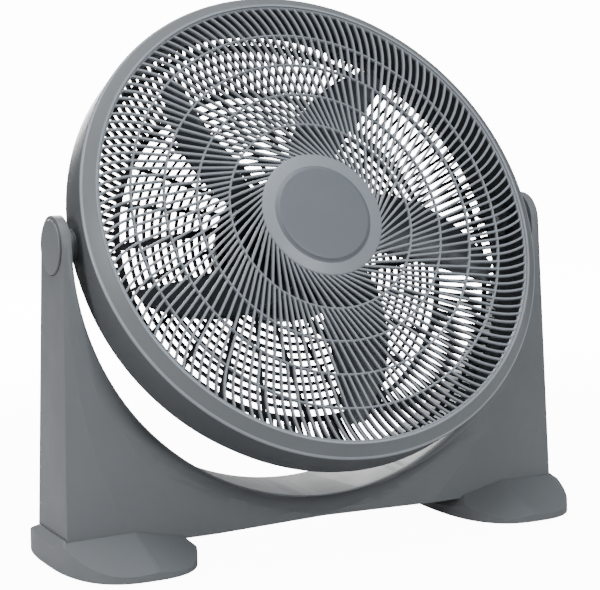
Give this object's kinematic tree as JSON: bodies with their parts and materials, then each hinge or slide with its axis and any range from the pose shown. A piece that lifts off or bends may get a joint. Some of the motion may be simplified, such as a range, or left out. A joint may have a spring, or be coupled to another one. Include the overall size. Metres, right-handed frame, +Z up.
{
  "type": "floor fan",
  "caption": "Round drum floor fan: a shallow drum with spiral-ribbed grilles and a bladed impeller tilts between the legs of a U-shaped stand on two moulded feet.",
  "frame": {"origin": "On the floor, under the middle of the outline of the whole fan at its rest tilt.", "axes": "+Z up, +X to the right seen from the front, the fan faces -Y and is tipped back so that it blows forward and upward."},
  "size_m": [0.592, 0.2976, 0.5716],
  "materials": {
    "body_grey": "fine satin moulded grey",
    "grille_grey": "satin moulded pale grey",
    "blade_grey": "semi-gloss moulded dark grey",
    "dark_plastic": "moulded near-black",
    "pad_rubber": "soft matt rubber",
    "bush_brass": "sintered",
    "steel": "plain zinc-plated steel"
  },
  "bodies": {
    "stand": {"stand_frame": "body_grey", "foot_left": "body_grey", "foot_right": "body_grey", "foot_pads": "pad_rubber", "foot_screws": "steel", "tilt_pin_left": "steel", "tilt_pin_right": "steel", "tilt_spacer_left": "dark_plastic", "tilt_spacer_right": "dark_plastic", "tilt_cap_left": "body_grey", "tilt_cap_right": "body_grey"},
    "head": {"drum_shell": "body_grey", "bezel_ring": "body_grey", "front_grille": "grille_grey", "hub_cap": "grille_grey", "rear_guard": "dark_plastic", "guard_screws": "steel", "motor_housing": "dark_plastic", "motor_stator": "steel", "shaft_bushes": "bush_brass", "stator_screws": "steel", "flange_screws": "steel", "speed_switch": "dark_plastic", "run_capacitor": "dark_plastic", "cord_inlet": "dark_plastic"},
    "rotor": {"impeller": "blade_grey", "motor_shaft": "steel", "motor_rotor": "steel", "impeller_nut": "dark_plastic"},
    "knob": {"speed_knob": "dark_plastic"}
  },
  "joints": [
    {"name": "head_tilt", "type": "hinge", "parent": "stand", "child": "head", "pos_m": [0, 0.0075, 0.32], "axis": [-1, 0, 0], "range_deg": [-26.5, 63.5]},
    {"name": "fan_spin", "type": "hinge", "parent": "head", "child": "rotor", "pos_m": [0, 0.0075, 0.32], "axis": [0, -0.8949, 0.4462], "continuous": true},
    {"name": "speed_knob_turn", "type": "hinge", "parent": "head", "child": "knob", "pos_m": [0, 0.11574, 0.3085], "axis": [0, 0.8949, -0.4462], "range_deg": [0, 135]}
  ]
}
